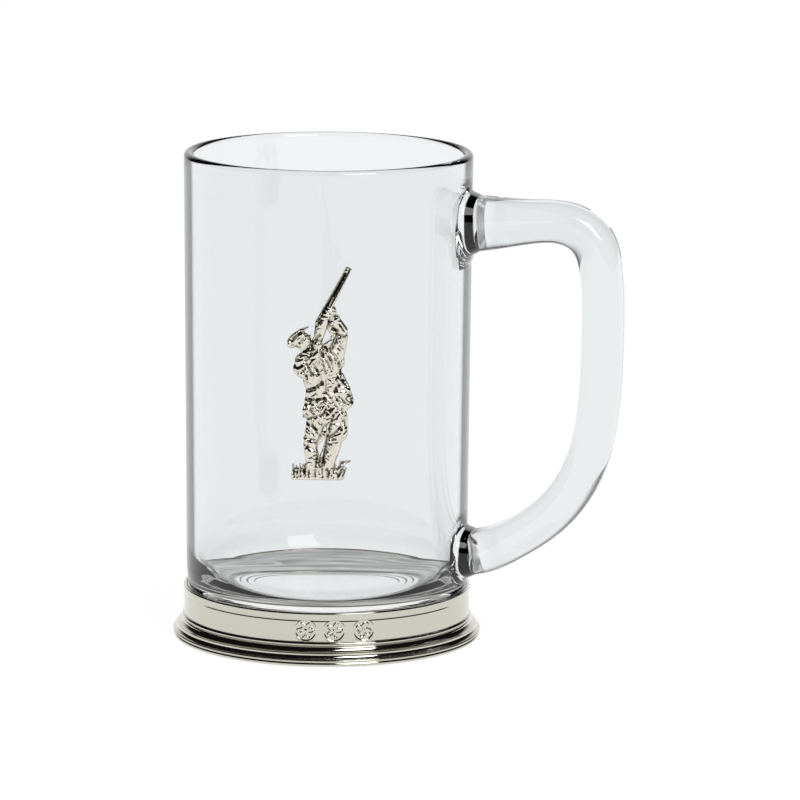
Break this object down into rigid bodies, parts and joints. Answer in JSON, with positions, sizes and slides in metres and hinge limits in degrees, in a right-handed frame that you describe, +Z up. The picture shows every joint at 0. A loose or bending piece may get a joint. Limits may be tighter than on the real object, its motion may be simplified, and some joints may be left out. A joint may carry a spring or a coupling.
{
  "type": "glass pint tankard with pewter base ring and badge",
  "caption": "Straight-sided clear glass pint tankard with a D handle, a turned pewter base ring with round stamps and a cast pewter shooter badge.",
  "frame": {"origin": "middle of the whole object's footprint (glass, ring and handle), on the table", "axes": "+Z up along the tankard's axis, +X towards the handle, -Y the front with the badge; the tankard's own axis stands 20.8 mm to the -X side of the origin"},
  "size_m": [0.131, 0.0892, 0.1412],
  "materials": {
    "clear_glass": "clear pressed glass, fire-polished, faint cool tint",
    "polished_pewter": "turned pewter polished to a mirror, slightly warm",
    "cast_pewter": "cast pewter, bright on the high parts, dark in the recesses",
    "adhesive": "cured grey adhesive"
  },
  "bodies": {
    "root": {"glass_body": "clear_glass", "glass_handle": "clear_glass", "base_ring": "polished_pewter", "base_ring_bond": "adhesive", "shooter_badge": "cast_pewter", "badge_bond": "adhesive"}
  },
  "joints": []
}
